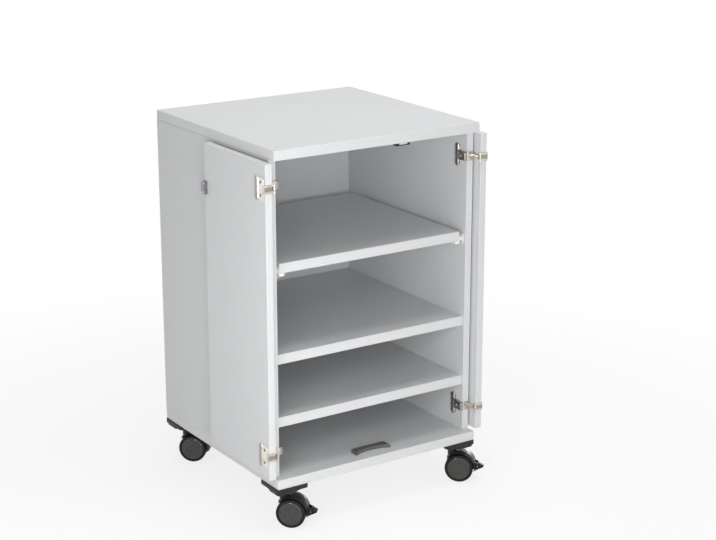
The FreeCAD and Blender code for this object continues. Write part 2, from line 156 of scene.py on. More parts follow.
def board_look(node, banded):
    """Melamine-faced board: pearl grain, edge banding with its glue joint and a lighter tint that is partly
    the banding's own tone and partly a painted highlight, faint handling marks.

    banded names the edges that carry banding, such as -y for the front edge."""
    look = Look(f"melamine_{node}", Specular_IOR_Level=0.42, Coat_Weight=0.06, Coat_Roughness=0.3)
    low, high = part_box(node)
    pearl = look.noise(PEARL_SCALE, 2.0)
    cloud = look.noise(CLOUD_SCALE, 4.0)
    marks = look.noise(MARK_SCALE, 6.0, (1, 1, 0.35))
    colour = look.tint(look.between(cloud, 0, 1), shaded(BOARD, 0.985), shaded(BOARD, 1.012))
    colour = look.tint(look.between(pearl, 0, 0.5), colour, shaded(BOARD, 0.955))
    colour = look.tint(look.between(marks, 0, 0.5, 0.62, 0.78), colour, shaded(BOARD, 0.93))
    roughness = look.between(cloud, 0.36, 0.46)
    if banded:
        separate = look.tree.nodes.new("ShaderNodeSeparateXYZ")
        look.feed(separate.inputs[0], look.place())
        nearest = None
        for edge in banded:
            axis = "xyz".index(edge[1])
            limit = low[axis] if edge[0] == "-" else high[axis]
            reach = look.math("ABSOLUTE", look.math("SUBTRACT", separate.outputs[axis], limit))
            nearest = reach if nearest is None else look.math("MINIMUM", nearest, reach)
        inside = look.between(nearest, 1, 0, BAND_WIDTH - BAND_JOINT, BAND_WIDTH)
        joint = look.between(
            look.math("ABSOLUTE", look.math("SUBTRACT", nearest, BAND_WIDTH)), 1, 0, 0, BAND_JOINT
        )
        # The banding's lighter tint is partly its own tone and partly a painted highlight for the light on
        # the front edges.
        colour = look.tint(look.math("MULTIPLY", inside, 0.5), colour, shaded(BOARD, 1.03))
        colour = look.tint(look.math("MULTIPLY", joint, 0.45), colour, shaded(BOARD, 0.62))
        roughness = look.math("SUBTRACT", roughness, look.math("MULTIPLY", inside, 0.07))
    look.set("Base Color", colour)
    look.set("Roughness", roughness)
    look.bump(pearl, 0.02 * MM, 0.5)
    return look.material


def plastic_look(name, colour, roughness, grain, dust=0.0, relief=0.03, coat=0.0, specular=0.5):
    """Moulded plastic: fine grain, uneven gloss and a little dust."""
    look = Look(name, Specular_IOR_Level=specular, Coat_Weight=coat, Coat_Roughness=0.08)
    fine = look.noise(grain, 2.0)
    cloud = look.noise(MOTTLE_SCALE, 5.0)
    tone = look.tint(look.between(cloud, 0, 1), shaded(colour, 0.85), shaded(colour, 1.2))
    dusty = look.between(look.noise(DUST_SCALE, 6.0), 0, dust, 0.5, 0.75)
    look.set("Base Color", look.tint(dusty, tone, grey(0.32, 0.02)))
    look.set("Roughness", look.between(cloud, roughness - 0.05, roughness + 0.08))
    look.bump(fine, relief * MM, 0.6)
    return look.material


def metal_look(name, colour, roughness, streak=(1, 1, 1)):
    """Plated pressed steel: fine drawn streaks and clouded plating."""
    look = Look(name, Metallic=1.0)
    drawn = look.noise(STREAK_SCALE, 3.0, streak)
    cloud = look.noise(PLATING_SCALE, 4.0)
    tone = look.tint(look.between(cloud, 0, 1), shaded(colour, 0.9), shaded(colour, 1.06))
    look.set("Base Color", tone)
    look.set("Roughness", look.between(drawn, roughness - 0.06, roughness + 0.1))
    look.bump(drawn, 0.015 * MM, 0.5)
    return look.material


def paint_look(name, colour, roughness, peel=420):
    """Powder coat over sheet steel, with its orange peel."""
    look = Look(name, Specular_IOR_Level=0.5)
    cloud = look.noise(COAT_SCALE, 4.0)
    look.set("Base Color", look.tint(look.between(cloud, 0, 1), shaded(colour, 0.96), shaded(colour, 1.02)))
    look.set("Roughness", look.between(cloud, roughness - 0.04, roughness + 0.06))
    look.bump(look.noise(peel, 2.0), 0.06 * MM, 0.4)
    return look.material


DRAWN_UP = (1, 1, 0.12)
DRAWN_ACROSS = (0.12, 1, 1)
NICKEL = metal_look("nickel_arm", (0.66, 0.62, 0.55), 0.2, DRAWN_UP)
# A lighter copy of the same nickel: a painted highlight on the bars' borders; the plates, pin and arm screw
# take it as well.
NICKEL_PLATE_AND_HIGHLIGHT = metal_look("nickel_plate_and_painted_highlight", (0.80, 0.78, 0.73), 0.22, DRAWN_UP)
# A darker copy of the same nickel: painted shade and dark reflection on the bars' inlays, the arms and their
# noses.
NICKEL_PAINTED_SHADE = metal_look("nickel_painted_shade", (0.40, 0.37, 0.345), 0.24, DRAWN_UP)
# A darker copy of the same nickel: painted shade on the plate round the door's edge.
NICKEL_EDGE_SHADE = metal_look("nickel_edge_painted_shade", (0.36, 0.345, 0.31), 0.26, DRAWN_ACROSS)
SCREW_DARK = metal_look("hinge_screw", (0.20, 0.18, 0.16), 0.3)
ZINC = metal_look("zinc_screw", (0.62, 0.61, 0.60), 0.3)
WHITE_PAINT = paint_look("white_powder_coat", grey(0.80, -0.005), 0.34)
NYLON = plastic_look("white_nylon", grey(0.78, 0.01), 0.42, grain=900)
BRACKET_BLACK = plastic_look(
    "bracket_black", grey(0.015, 0.06), 0.42, grain=1700, dust=0.03, relief=0.05, specular=0.28
)
HOOD_BLACK = plastic_look(
    "hood_black", grey(0.011, 0.12), 0.22, grain=900, dust=0.015, relief=0.012, coat=0.2, specular=0.22
)
WHEEL_GREY = plastic_look(
    "wheel_disc", grey(0.032, 0.06), 0.24, grain=1500, dust=0.03, relief=0.02, coat=0.25, specular=0.35
)
TREAD_BLACK = plastic_look("wheel_tread", grey(0.008), 0.5, grain=700, dust=0.02, relief=0.06, specular=0.2)
RIM_BLACK = plastic_look(
    "wheel_rim", grey(0.014, 0.05), 0.09, grain=1500, relief=0.004, coat=0.4, specular=0.45
)
STOP_GREY = plastic_look("stop_plastic", grey(0.10), 0.36, grain=1500, dust=0.06)
LOCK_BLUE = paint_look("lock_enamel", (0.135, 0.135, 0.165, 1.0), 0.38, peel=700)
LOCK_STEEL = metal_look("lock_bolt", (0.30, 0.30, 0.34), 0.34)


# Mesh building

WELD = 0.001 * MM
TINY = 1e-7                 # metres
SHARP_ANGLE = 32            # degrees, above which an edge is drawn sharp
INWARD = (1, 0, 0)
OUTWARD = (-1, 0, 0)
DOWN = (0, 0, -1)
# Sets a prism upright: the outline's x and y become y and z, and its height becomes x.
UPRIGHT = Matrix(((0, 0, 1, 0), (1, 0, 0, 0), (0, 1, 0, 0), (0, 0, 0, 1)))
# Sets a prism on its side: the outline's x and y become x and z.
ON_SIDE = Matrix(((1, 0, 0, 0), (0, 0, -1, 0), (0, 1, 0, 0), (0, 0, 0, 1)))
SWAPPED = Matrix(((0, 1, 0, 0), (1, 0, 0, 0), (0, 0, 1, 0), (0, 0, 0, 1)))     # x and y change places
ACROSS = Matrix.Rotation(math.pi / 2, 4, "X")       # lays a pin along y


def merge(target, part, place=None, material=0):
    """Move a finished part into a piece's mesh, mirrored parts with their faces turned back out."""
    if place is not None:
        bmesh.ops.transform(part, matrix=place, verts=part.verts)
        if place.determinant() < 0:
            bmesh.ops.reverse_faces(part, faces=part.faces)
    for face in part.faces:
        face.smooth = True
        if material is not None:
            face.material_index = material
    carrier = bpy.data.meshes.new("carrier")
    part.to_mesh(carrier)
    part.free()
    target.from_mesh(carrier)
    bpy.data.meshes.remove(carrier)


def skin(part, first, second):
    """Faces between two rings with as many points."""
    for i in range(len(first)):
        j = (i + 1) % len(first)
        part.faces.new((first[i], first[j], second[j], second[i]))


def rounded(part, edges, radius, segments):
    part.normal_update()
    bmesh.ops.bevel(
        part, geom=edges, offset=radius, segments=segments, profile=0.5, affect="EDGES", clamp_overlap=True
    )


def block(low, high, radius=0.4 * MM, segments=2):
    """A box with every edge rounded."""
    part = bmesh.new()
    bmesh.ops.create_cube(part, size=1)
    low, high = Vector(low), Vector(high)
    for vert in part.verts:
        vert.co = (low + high) / 2 + Vector(c * s for c, s in zip(vert.co, high - low))
    rounded(part, part.edges[:], radius, segments)
    return part


def arc(centre, radius, start, stop, steps):
    """Points on a circle in a plane, angles in degrees."""
    angles = (math.radians(start + (stop - start) * i / steps) for i in range(steps + 1))
    return [(centre[0] + radius * math.cos(a), centre[1] + radius * math.sin(a)) for a in angles]


def soft_rectangle(low, high, radius, steps=6):
    """Outline of a rectangle with rounded corners, counter-clockwise."""
    (x0, y0), (x1, y1) = low, high
    corners = ((x1 - radius, y0 + radius, -90), (x1 - radius, y1 - radius, 0),
               (x0 + radius, y1 - radius, 90), (x0 + radius, y0 + radius, 180))
    return [p for x, y, a in corners for p in arc((x, y), radius, a, a + 90, steps)]


def prism(outline, low, high, radius=0.5 * MM, segments=2):
    """An outline in x and y, filled between two heights, which may be functions of x and y."""
    part = bmesh.new()
    heights = [h if callable(h) else (lambda x, y, level=h: level) for h in (low, high)]
    rings = [[part.verts.new((x, y, h(x, y))) for x, y in outline] for h in heights]
    part.faces.new(reversed(rings[0]))
    part.faces.new(rings[1])
    skin(part, *rings)
    rims = [e for e in part.edges if (e.verts[0] in rings[0]) == (e.verts[1] in rings[0])]
    if radius:
        rounded(part, rims, radius, segments)
    return part


def lathe(profile, steps=48):
    """A profile of (radius, height) turned round z; it is closed where the radius is zero."""
    part = bmesh.new()
    rings = []
    for radius, height in profile:
        if radius < TINY:
            rings.append([part.verts.new((0, 0, height))])
            continue
        turns = (math.tau * i / steps for i in range(steps))
        rings.append([part.verts.new((radius * math.cos(a), radius * math.sin(a), height)) for a in turns])
    for first, second in zip(rings, rings[1:]):
        for i in range(steps):
            j = (i + 1) % steps
            near, far = ([ring[k % len(ring)] for k in (i, j)] for ring in (first, second))
            loop = list(dict.fromkeys([*near, *reversed(far)]))
            if len(loop) > 2:
                part.faces.new(loop)
    bmesh.ops.recalc_face_normals(part, faces=part.faces)
    return part


def pin(radius, low, high, edge=0.3 * MM, steps=24):
    """A round bar along z with rounded rims."""
    corner = [(radius - edge + edge * math.cos(a), edge * math.sin(a)) for a in (0, math.pi / 4, math.pi / 2)]
    bottom = [(r, low + edge - h) for r, h in reversed(corner)]
    top = [(r, high - edge + h) for r, h in corner]
    return lathe([(0, low), *bottom, *top, (0, high)], steps)


def barrel(bore, radius, low, high, edge=0.3 * MM, steps=24):
    """A tube along z with rounded rims."""
    part = lathe([(bore, low), (radius - edge, low), (radius, low + edge), (radius, high - edge),
                  (radius - edge, high), (bore, high), (bore, low)], steps)
    bmesh.ops.remove_doubles(part, verts=part.verts, dist=WELD)
    return part


def turn_to(direction, origin):
    """A place whose z axis points along direction."""
    return Matrix.Translation(Vector(origin)) @ Vector(direction).to_track_quat("Z", "Y").to_matrix().to_4x4()


SCREW_STEPS = 24
SCREW_DOME = 0.35           # height of a head as a share of its radius
SCREW_RINGS = ((1.0, -0.1), (0.97, 0.35), (0.84, 0.75), (0.64, 1.0))   # shares of radius and height
CROSS_REACH = 0.52          # shares of the radius
CROSS_HALF = 0.13
CROSS_DEPTH = 0.45          # share of the height
CROSS_TAPER = 0.8


def screw(radius):
    """A screw head standing on z = 0 with a cross recess."""
    part = bmesh.new()
    top = radius * SCREW_DOME
    reach, half = CROSS_REACH * radius, CROSS_HALF * radius
    cross = [(reach, -half), (reach, half), (half, half), (half, reach), (-half, reach), (-half, half),
             (-reach, half), (-reach, -half), (-half, -half), (-half, -reach), (half, -reach), (half, -half)]
    turns = [math.tau * i / SCREW_STEPS for i in range(SCREW_STEPS)]
    circles = [
        [part.verts.new((share * radius * math.cos(a), share * radius * math.sin(a), top * height))
         for a in turns] for share, height in SCREW_RINGS
    ]
    for lower, upper in zip(circles, circles[1:]):
        skin(part, lower, upper)
    part.faces.new(circles[0])
    rim = [part.verts.new((x, y, top)) for x, y in cross]
    floor = [part.verts.new((x * CROSS_TAPER, y * CROSS_TAPER, top * (1 - CROSS_DEPTH))) for x, y in cross]
    skin(part, rim, floor)
    part.faces.new(floor)
    loops = [part.edges.get((ring[i], ring[(i + 1) % len(ring)]))
             for ring in (circles[-1], rim) for i in range(len(ring))]
    bmesh.ops.triangle_fill(part, edges=loops, use_beauty=True)
    bmesh.ops.recalc_face_normals(part, faces=part.faces)
    return part


def outer_x(side, low, high):
    """The x of a box's face that points away from the cabinet's middle."""
    return low.x if side == "left" else high.x


def mirrored(side, origin):
    """A place at origin whose x axis points into the cabinet."""
    return Matrix.Translation(origin) @ Matrix.Diagonal((SIDES[side], 1, 1, 1))


def add_object(name, data):
    made = bpy.data.objects.new(name, data)
    bpy.context.scene.collection.objects.link(made)
    return made


def finish_piece(name, mesh_parts, materials, body, replaced=(), sharp=SHARP_ANGLE):
    """Make the object, let it ride on its body and stand for its CAD nodes."""
    mesh = bpy.data.meshes.new(name)
    mesh_parts.to_mesh(mesh)
    mesh_parts.free()
    for material in materials:
        mesh.materials.append(material)
    mesh.set_sharp_from_angle(angle=math.radians(sharp))
    piece = add_object(name, mesh)
    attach(piece, body)
    if replaced:
        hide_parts(*replaced)
    return piece


# Boards

ROUND_EDGES = ("-x", "+x", "-y", "+y")
BANDED = {
    "top_panel": ROUND_EDGES, "bottom_panel": ROUND_EDGES, "pull_out_shelf": ROUND_EDGES,
    "left_side_panel": ("-y", "+y"), "right_side_panel": ("-y", "+y"), "back_panel": (),
    "upper_shelf": ("-y",), "lower_shelf": ("-y",),
    "left_door": ("-y", "+y", "-z", "+z"), "right_door": ("-y", "+y", "-z", "+z"),
}


def dress_boards():
    for node, banded in BANDED.items():
        nodes[node].data.materials.clear()
        nodes[node].data.materials.append(board_look(node, banded))


# Hinges

HINGE_PLATE = 2.5 * MM
PLATE_HEIGHT = 55 * MM
PLATE_CORNER = 6 * MM
MOUNT_WIDTH = 24 * MM
MOUNT_INSET = 25 * MM
BAR_WIDTH = 12 * MM
BAR_HEIGHT = 60 * MM
BAR_RISE = 3 * MM
ARM_FRAME = 2 * MM        # painted-highlight border round the bar's painted-shade inlay
LEAF_FRAME = 0.4 * MM
BAR_INLAY = 0.6 * MM      # inlay above that border
SET_APART = 0.2 * MM      # between faces of parts that run into each other
OVERLAP = 1 * MM          # by which such parts run into each other
ARM_FRONT = 22 * MM
ARM_THICK = 9 * MM
ARM_SCREW = 3 * MM
ARM_SCREW_AT = (7.8 * MM, 16 * MM)      # off the wall, behind the side's front edge
NOSE_BACK = 5 * MM
NOSE_ROUND = 2 * MM
STRAP = 2.4 * MM
STRAP_ROUND = 0.8 * MM
STRAP_SLIP = 0.5 * MM
KNUCKLE = 9 * MM
FINGER = 6 * MM
FINGER_ROUND = 0.5 * MM
KNUCKLE_RADIUS = 3 * MM
PIN_RADIUS = 1.5 * MM
PIN_EDGE = 0.5 * MM
PIN_CLEAR = 0.05 * MM
LEAF_INSET = 4 * MM
LEAF_TONGUE = 6 * MM
LEAF_SCREW_INSET = 14 * MM
LEAF_WIDTH = 37 * MM
LEAF_SHEET = 1.7 * MM
EDGE_PLATE = 1 * MM
SCREW_RADIUS = 3.6 * MM
SCREW_SPREAD = 20 * MM
LEAF_SCREWS = 16 * MM
BAR_CORNER = 5.5 * MM
ARM_STATIONS = (
    # y behind the side's front edge, height, thickness, corner radius
    (1 * MM, 21 * MM, 8.4 * MM, 2.8 * MM),
    (9 * MM, 22 * MM, 8.4 * MM, 2.8 * MM),
    (20 * MM, 24.6 * MM, 7.2 * MM, 2.6 * MM),
    (28.6 * MM, 26.6 * MM, 5.4 * MM, 2.2 * MM),
    (30 * MM, 25 * MM, 4.2 * MM, 1.8 * MM),
)
HINGE_METALS = (NICKEL, NICKEL_PLATE_AND_HIGHLIGHT, NICKEL_PAINTED_SHADE, SCREW_DARK, NICKEL_EDGE_SHADE)
# BRIGHT picks the lighter nickel, a painted highlight on the bars' borders; DARK the painted-shade nickel;
# EDGE the darker painted-shade nickel on the door's edge.
GOLD, BRIGHT, DARK, HEAD, EDGE = range(5)


def plate(start, stop, height, thickness, corner):
    """A plate with rounded corners from start to stop, its middle at zero the other way."""
    return prism(soft_rectangle((start, -height / 2), (stop, height / 2), corner), 0, thickness)


def hinge_place(side, level):
    """Local axes of a hinge, where its pin is and how thick the side panel is.

    x leads into the cabinet from the side's outer face, y back and z up, from the pivot's height."""
    pivot = Vector(joints[f"{side}_door_hinge"]["pos_m"])
    low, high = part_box(f"{side}_{level}_hinge_arm")
    panel_low, panel_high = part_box(f"{side}_side_panel")
    outer = outer_x(side, panel_low, panel_high)
    place = mirrored(side, Vector((outer, panel_low.y, (low.z + high.z) / 2)))
    pin_at = (SIDES[side] * (pivot.x - outer), pivot.y - panel_low.y)
    return place, pin_at, panel_high.x - panel_low.x


def arm_section(width, height, corner):
    """Cross-section of the pressed arm in x and z: flat on the panel, rounded outside."""
    half = height / 2
    return [(0, -half), *arc((width - corner, -half + corner), corner, -90, 0, 5),
            *arc((width - corner, half - corner), corner, 0, 90, 5), (0, half)]


def loft(sections):
    """Skin between closed outlines of equal length given as lists of points, capped at both ends."""
    part = bmesh.new()
    rings = [[part.verts.new(p) for p in section] for section in sections]
    for first, second in zip(rings, rings[1:]):
        skin(part, first, second)
    part.faces.new(reversed(rings[0]))
    part.faces.new(rings[-1])
    bmesh.ops.recalc_face_normals(part, faces=part.faces)
    return part


def add_plate(piece, place, start, stop, bar, frame):
    """A hinge's plate on x = 0 and the upright bar on it, a painted-highlight border round a painted-shade
    inlay.
    """
    on_edge = place @ UPRIGHT
    merge(piece, plate(start, stop, PLATE_HEIGHT, HINGE_PLATE, PLATE_CORNER), on_edge, BRIGHT)
    thick, end = HINGE_PLATE + BAR_RISE, bar + BAR_WIDTH
    merge(piece, plate(bar, end, BAR_HEIGHT, thick - BAR_INLAY, BAR_CORNER), on_edge, BRIGHT)
    inlay = plate(bar + frame, end - frame, BAR_HEIGHT - 2 * frame, thick, BAR_CORNER - frame)
    merge(piece, inlay, on_edge, DARK)


def make_hinge_arm(side, level):
    place, (pin_x, pin_y), wall = hinge_place(side, level)
    on_wall = place @ Matrix.Translation((wall, 0, 0))
    piece = bmesh.new()
    bar = MOUNT_INSET + (MOUNT_WIDTH - BAR_WIDTH) / 2
    add_plate(piece, on_wall, MOUNT_INSET, MOUNT_INSET + MOUNT_WIDTH, bar, ARM_FRAME)

    bend = -STRAP_SLIP - STRAP
    sections = [[(x, y, z) for x, z in arm_section(thick, height, corner)]
                for y, height, thick, corner in ARM_STATIONS]
    # The arm and its nose are drawn in the painted-shade nickel.
    merge(piece, loft(sections), on_wall, DARK)
    half_arm = ARM_FRONT / 2
    inside = half_arm - SET_APART
    nose = block(
        (wall - OVERLAP, bend + SET_APART, -inside), (wall + ARM_THICK, NOSE_BACK, inside), NOSE_ROUND, 4
    )
    merge(piece, nose, place, DARK)
    strap = block(
        (pin_x - STRAP / 2, bend, -half_arm), (wall + OVERLAP, bend + STRAP, half_arm), STRAP_ROUND, 3
    )
    merge(piece, strap, place, GOLD)
    half_tongue = STRAP / 2 - SET_APART
    tongue = block(
        (pin_x - half_tongue, pin_y, -KNUCKLE / 2),
        (pin_x + half_tongue, bend + OVERLAP, KNUCKLE / 2), FINGER_ROUND,
    )
    merge(piece, tongue, place, GOLD)
    at_pin = place @ Matrix.Translation((pin_x, pin_y, 0))
    merge(piece, pin(KNUCKLE_RADIUS, -KNUCKLE / 2, KNUCKLE / 2), at_pin, GOLD)
    reach = KNUCKLE / 2 + FINGER + STRAP_SLIP + SET_APART
    merge(piece, pin(PIN_RADIUS, -reach, reach, PIN_EDGE), at_pin, BRIGHT)

    for height in (-SCREW_SPREAD, SCREW_SPREAD):
        spot = (wall + HINGE_PLATE + BAR_RISE, bar + BAR_WIDTH / 2, height)
        merge(piece, screw(SCREW_RADIUS), place @ turn_to(INWARD, spot), HEAD)
    rise, back = ARM_SCREW_AT
    merge(piece, screw(ARM_SCREW), place @ turn_to(INWARD, (wall + rise, back, 0)), BRIGHT)
    node = f"{side}_{level}_hinge_arm"
    finish_piece(f"{node}_steel", piece, HINGE_METALS, "cabinet", (node,))


def make_hinge_leaf(side, level):
    place, (pin_x, pin_y), _ = hinge_place(side, level)
    low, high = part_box(f"{side}_door")
    # The folded door's inner face is turned outward.
    inner_face = -abs(outer_x(side, low, high) - place.translation.x)
    edge_y = low.y - place.translation.y
    piece = bmesh.new()
    on_door = place @ Matrix.Translation((inner_face, 0, 0)) @ Matrix.Diagonal((-1, 1, 1, 1))
    start, stop = edge_y + LEAF_INSET, edge_y + LEAF_INSET + LEAF_WIDTH
    add_plate(piece, on_door, start, stop - SET_APART, stop - BAR_WIDTH, LEAF_FRAME)

    half_wrap = KNUCKLE / 2 + STRAP_SLIP + FINGER
    door_thick = high.x - low.x
    face = inner_face - HINGE_PLATE
    ahead = edge_y - EDGE_PLATE
    # The plate round the door's edge takes the darker painted-shade nickel.
    wrap = block((face, ahead, -half_wrap), (inner_face + door_thick, edge_y, half_wrap))
    merge(piece, wrap, place, EDGE)
    inside = half_wrap - SET_APART
    tongue = block(
        (face - SET_APART, ahead + SET_APART, -inside),
        (inner_face, start + LEAF_TONGUE, inside), STRAP_ROUND, 3,
    )
    merge(piece, tongue, place, GOLD)
    for lowest in (-half_wrap, KNUCKLE / 2 + STRAP_SLIP):
        finger = block(
            (face + 2 * SET_APART, edge_y - LEAF_SHEET, lowest + SET_APART),
            (pin_x, edge_y - SET_APART, lowest + FINGER - SET_APART), FINGER_ROUND,
        )
        merge(piece, finger, place, GOLD)
        knuckle = barrel(PIN_RADIUS + PIN_CLEAR, KNUCKLE_RADIUS, lowest, lowest + FINGER)
        merge(piece, knuckle, place @ Matrix.Translation((pin_x, pin_y, 0)), GOLD)
    for height in (-LEAF_SCREWS, LEAF_SCREWS):
        spot = (face, start + LEAF_SCREW_INSET, height)
        merge(piece, screw(SCREW_RADIUS), place @ turn_to(OUTWARD, spot), HEAD)
    node = f"{side}_{level}_hinge_leaf"
    finish_piece(f"{node}_steel", piece, HINGE_METALS, f"{side}_door", (node,))


# Runners

SHEET = 1.2 * MM
SLOT_PITCH = 64 * MM
SLOT_LENGTH = 14 * MM
SLOT_HEIGHT = 5 * MM
SLOT_DEPTH = 3 * MM
SCREWED_SLOTS = (1, 4, 6)
SCREW_SEAT = 0.6            # of the sheet
WALL_SCREW = 3.4 * MM
AXLE_SCREW = 2.6 * MM
RUNNER_TRACK = 10 * MM
RUNNER_BEND = 2 * MM
RUNNER_FOLD = 0.6 * MM      # corners cut off the shelf runner's folds
RUNNER_FOOT = (0.5 * MM, 0.7 * MM)
ROLLER_RADIUS = 8.5 * MM
ROLLER_INSET = 12 * MM
ROLLER_CLEAR = 0.3 * MM
ROLLER_DROP = 1.6 * MM      # of the cabinet's roller below the track
ROLLER_STEPS = 40
ROLLER_PROFILE = (
    # shares of the radius and of the width
    (0, 0), (0.35, 0), (0.4, 0.08), (0.72, 0.08), (0.8, 0), (0.93, 0), (1, 0.12),
    (1, 0.88), (0.93, 1), (0.8, 1), (0.72, 0.92), (0.4, 0.92), (0.35, 1), (0, 1),
)


def strip(section, start, stop):
    """A folded sheet section in x and z, drawn along y."""
    return loft([[(x, y, z) for x, z in section] for y in (start, stop)])


def slot_cutter(middle, height, depth):
    """An oval through the web of a runner, lying flat."""
    half = SLOT_LENGTH / 2 - SLOT_HEIGHT / 2
    outline = (arc((middle + half, height), SLOT_HEIGHT / 2, -90, 90, 8)
               + arc((middle - half, height), SLOT_HEIGHT / 2, 90, 270, 8))
    return prism(outline, -depth, depth, 0)


def roller(radius, width):
    """A nylon roller along z with a rounded tread and a hub."""
    return lathe([(radius * r, width * h) for r, h in ROLLER_PROFILE], ROLLER_STEPS)


def bent_channel(width, height, sheet, bend):
    """Section of a C channel open towards +x, its outside bends rounded."""
    outside = [*arc((bend, bend), bend, 270, 180, 4), *arc((bend, height - bend), bend, 180, 90, 4)]
    inner = bend - sheet
    inside = [*arc((sheet + inner, height - sheet - inner), inner, 90, 180, 4),
              *arc((sheet + inner, sheet + inner), inner, 180, 270, 4)]
    return [(width, 0), *outside, (width, height), (width, height - sheet), *inside, (width, sheet)]


def cut_slots(piece, name, cutters):
    """Take the slots out of a finished runner mesh."""
    tool_mesh = bpy.data.meshes.new(f"{name}_slots")
    cutters.to_mesh(tool_mesh)
    cutters.free()
    tool = add_object(f"{name}_slots", tool_mesh)
    modifier = piece.modifiers.new("slots", "BOOLEAN")
    modifier.operation = "DIFFERENCE"
    modifier.solver = "EXACT"
    modifier.object = tool
    cut_mesh = bpy.data.meshes.new_from_object(piece.evaluated_get(bpy.context.evaluated_depsgraph_get()))
    piece.modifiers.clear()
    piece.data = cut_mesh
    bpy.data.objects.remove(tool)


def make_cabinet_runner(side):
    node = f"{side}_cabinet_runner"
    low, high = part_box(node)
    place = mirrored(side, (outer_x(side, low, high), low.y, low.z))
    length, height = high.y - low.y, high.z - low.z
    channel = bmesh.new()
    merge(channel, strip(bent_channel(RUNNER_TRACK, height, SHEET, RUNNER_BEND), 0, length), place)
    piece = finish_piece(f"{node}_channel", channel, (WHITE_PAINT,), "cabinet", (node,))
    cutters = bmesh.new()
    for i in range(int((length - 2 * SLOT_PITCH) / SLOT_PITCH) + 1):
        cutter = slot_cutter(SLOT_PITCH + i * SLOT_PITCH, height / 2, SLOT_DEPTH)
        merge(cutters, cutter, place @ UPRIGHT)
    cut_slots(piece, node, cutters)
    piece.data.set_sharp_from_angle(angle=math.radians(SHARP_ANGLE))

    fittings = bmesh.new()
    axle_z = height - SHEET - ROLLER_RADIUS - ROLLER_DROP
    spot = (SHEET, ROLLER_INSET, axle_z)
    merge(fittings, roller(ROLLER_RADIUS, RUNNER_TRACK - SHEET), place @ turn_to(INWARD, spot))
    spot = (RUNNER_TRACK, ROLLER_INSET, axle_z)
    merge(fittings, screw(AXLE_SCREW), place @ turn_to(INWARD, spot), 1)
    for slot in SCREWED_SLOTS:
        spot = (SHEET * SCREW_SEAT, slot * SLOT_PITCH, height / 2)
        merge(fittings, screw(WALL_SCREW), place @ turn_to(INWARD, spot), 1)
    finish_piece(f"{side}_cabinet_roller", fittings, (NYLON, ZINC), "cabinet")


def make_shelf_runner(side):
    node = f"{side}_shelf_runner"
    low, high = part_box(node)
    place = mirrored(side, (outer_x(side, low, high), low.y, low.z))
    length, height, width = high.y - low.y, high.z - low.z, high.x - low.x
    web, fold = RUNNER_TRACK, RUNNER_FOLD
    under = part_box("pull_out_shelf")[0].z - low.z
    foot, heel = RUNNER_FOOT
    section = [(web - SHEET, under), (web - SHEET, height - SHEET), (0, height - SHEET), (0, height),
               (web - fold, height), (web, height - fold), (web, under), (width, under),
               (width, 0), (web - foot, 0), (web - SHEET, heel)]
    piece = bmesh.new()
    merge(piece, strip(section, 0, length), place)
    finish_piece(f"{node}_angle", piece, (WHITE_PAINT,), "pull_out", (node,))
    fittings = bmesh.new()
    track_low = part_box(f"{side}_cabinet_runner")[0]
    axle_z = track_low.z + SHEET + ROLLER_CLEAR + ROLLER_RADIUS - low.z
    spot = (0, length - ROLLER_INSET, axle_z)
    merge(fittings, roller(ROLLER_RADIUS, web - SHEET), place @ turn_to(INWARD, spot))
    finish_piece(f"{side}_shelf_roller", fittings, (NYLON,), "pull_out")


# Lock, catch and door stop

STOP_BOW = 12 * MM
STOP_BOW_RADIUS = 110 * MM
STOP_CORNER = 9 * MM
STOP_ROUND = 2 * MM
STOP_SCREW = 3.2 * MM
STOP_SCREWS = 44 * MM
STOP_SINK = 0.4 * MM
LOCK_CASE = 14 * MM         # lengths of the lock's pieces start at the door's free edge
LOCK_ROUND = 1.2 * MM
LOCK_SCREW = 2.6 * MM
LOCK_SCREW_AT = 7 * MM
LOCK_SCREW_INSET = 5 * MM
LOCK_SCREW_RISE = 1 * MM
LOCK_PLATE = 1 * MM
LOCK_PLATE_REACH = 19 * MM
LOCK_PLATE_START = 2 * MM
LOCK_PLATE_INSET = 1 * MM
LOCK_PLATE_ROUND = 0.3 * MM
BOLT_REACH = 10 * MM
BOLT_DEPTH = 2 * MM
BOLT_ROUND = 0.6 * MM
CATCH_ROUND = 1.5 * MM
MOUTH_INSET = 8 * MM
MOUTH_LOW = 3 * MM
MOUTH_HIGH = 8 * MM
MOUTH_DEPTH = 1.2 * MM


def make_lock():
    low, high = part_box("door_lock")
    door_low, door_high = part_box("left_door")
    piece = bmesh.new()
    edge = door_high.y
    face = door_low.x
    cover = low.x + LOCK_SCREW_RISE
    merge(piece, block((cover, edge - LOCK_CASE, low.z), (face, edge, high.z), LOCK_ROUND, 3))
    backing = block(
        (face - LOCK_PLATE, edge - LOCK_PLATE_REACH, low.z + LOCK_PLATE_INSET),
        (face, edge - LOCK_PLATE_START, high.z - LOCK_PLATE_INSET), LOCK_PLATE_ROUND,
    )
    merge(piece, backing, None, 1)
    margin = (high.z - low.z) / 6
    bolt = block(
        (cover - SET_APART, edge - BOLT_REACH, low.z + margin),
        (cover + BOLT_DEPTH, high.y, high.z - margin), BOLT_ROUND,
    )
    merge(piece, bolt, None, 2)
    for height in (low.z + LOCK_SCREW_INSET, high.z - LOCK_SCREW_INSET):
        merge(piece, screw(LOCK_SCREW), turn_to(OUTWARD, (cover, edge - LOCK_SCREW_AT, height)), 1)
    metals = (LOCK_BLUE, ZINC, LOCK_STEEL)
    finish_piece("door_lock_case", piece, metals, "left_door", ("door_lock",))


